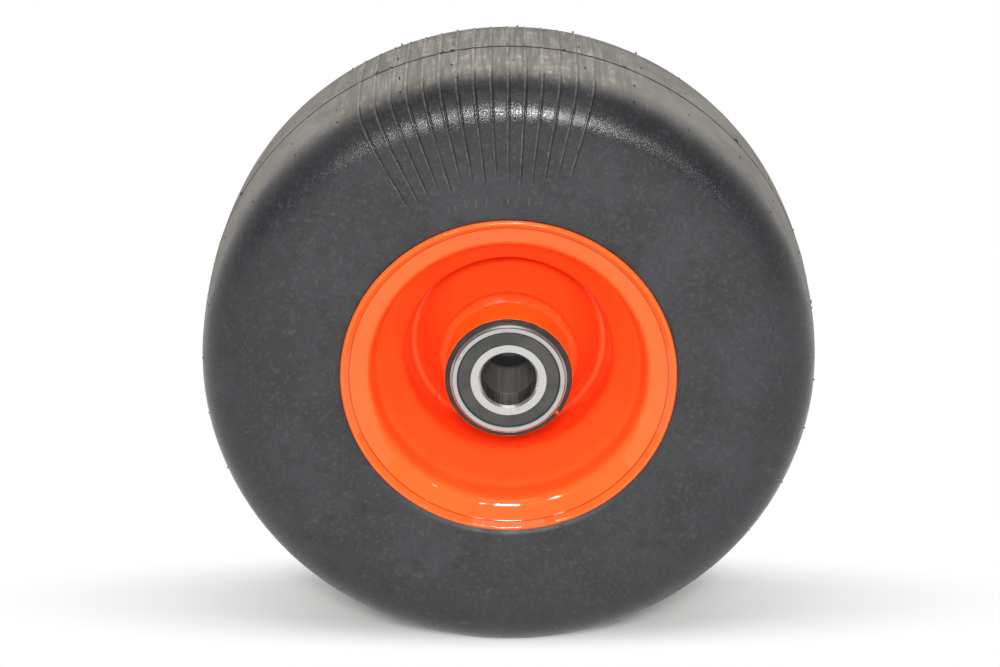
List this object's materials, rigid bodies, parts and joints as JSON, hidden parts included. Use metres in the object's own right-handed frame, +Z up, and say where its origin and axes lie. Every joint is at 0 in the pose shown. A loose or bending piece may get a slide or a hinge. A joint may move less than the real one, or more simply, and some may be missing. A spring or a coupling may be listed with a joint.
{
  "type": "wheel",
  "caption": "Pneumatic smooth-tread wheel with a dished orange pressed-steel rim, a welded hub tube and a sealed ball bearing in each end of the axle bore.",
  "frame": {"origin": "centre of the wheel, on the spin axis and midway between the bearing faces", "axes": "+Y along the spin axis, the front shown in the picture faces -Y, +Z up with the valve at the bottom"},
  "size_m": [0.2786, 0.104, 0.2787],
  "materials": {
    "tyre_rubber": "moulded black rubber, dusty on the tread",
    "orange_paint": "gloss orange powder paint",
    "weld_steel": "raw weld, hidden under the tyre",
    "hub_paint": "gloss orange paint, ends bare dark steel",
    "bearing_steel": "ground bearing steel",
    "ball_steel": "polished",
    "cage_plastic": "natural moulded plastic",
    "seal_rubber": "satin black rubber",
    "spacer_steel": "drawn tube, oiled",
    "valve_rubber": "satin black rubber",
    "brass": "turned",
    "cap_plastic": "moulded black plastic"
  },
  "bodies": {
    "axle_side": {"front_bearing_inner_ring": "bearing_steel", "rear_bearing_inner_ring": "bearing_steel", "spacer_sleeve": "spacer_steel"},
    "wheel": {"tyre": "tyre_rubber", "rim_front_half": "orange_paint", "rim_rear_half": "orange_paint", "rim_seam_weld": "weld_steel", "hub_tube": "hub_paint", "front_hub_weld": "orange_paint", "rear_hub_weld": "orange_paint", "valve_stem": "valve_rubber", "valve_insert": "brass", "valve_core": "brass", "front_bearing_outer_ring": "bearing_steel", "front_bearing_outer_seal": "seal_rubber", "front_bearing_inner_seal": "seal_rubber", "rear_bearing_outer_ring": "bearing_steel", "rear_bearing_outer_seal": "seal_rubber", "rear_bearing_inner_seal": "seal_rubber"},
    "front_ball_set": {"front_bearing_balls": "ball_steel", "front_bearing_cage": "cage_plastic"},
    "rear_ball_set": {"rear_bearing_balls": "ball_steel", "rear_bearing_cage": "cage_plastic"},
    "valve_pin": {"valve_pin": "brass"},
    "valve_cap": {"valve_cap": "cap_plastic"}
  },
  "joints": [
    {"name": "wheel_spin", "type": "hinge", "parent": "axle_side", "child": "wheel", "pos_m": [0, 0, 0], "axis": [0, 1, 0], "continuous": true},
    {"name": "front_ball_set_spin", "type": "hinge", "parent": "axle_side", "child": "front_ball_set", "pos_m": [0, -0.0433, 0], "axis": [0, 1, 0], "continuous": true},
    {"name": "rear_ball_set_spin", "type": "hinge", "parent": "axle_side", "child": "rear_ball_set", "pos_m": [0, 0.0433, 0], "axis": [0, 1, 0], "continuous": true},
    {"name": "valve_pin_press", "type": "slide", "parent": "wheel", "child": "valve_pin", "axis": [0, -0.7071, -0.7071], "range_m": [0, 0.0012], "stiffness_N_per_m": 800},
    {"name": "valve_cap_off", "type": "slide", "parent": "wheel", "child": "valve_cap", "axis": [0, 0.7071, 0.7071], "range_m": [0, 0.0085]}
  ],
  "couplings": [
    {"joint": "front_ball_set_spin", "follows": "wheel_spin", "ratio": 0.60309},
    {"joint": "rear_ball_set_spin", "follows": "wheel_spin", "ratio": 0.60309}
  ]
}
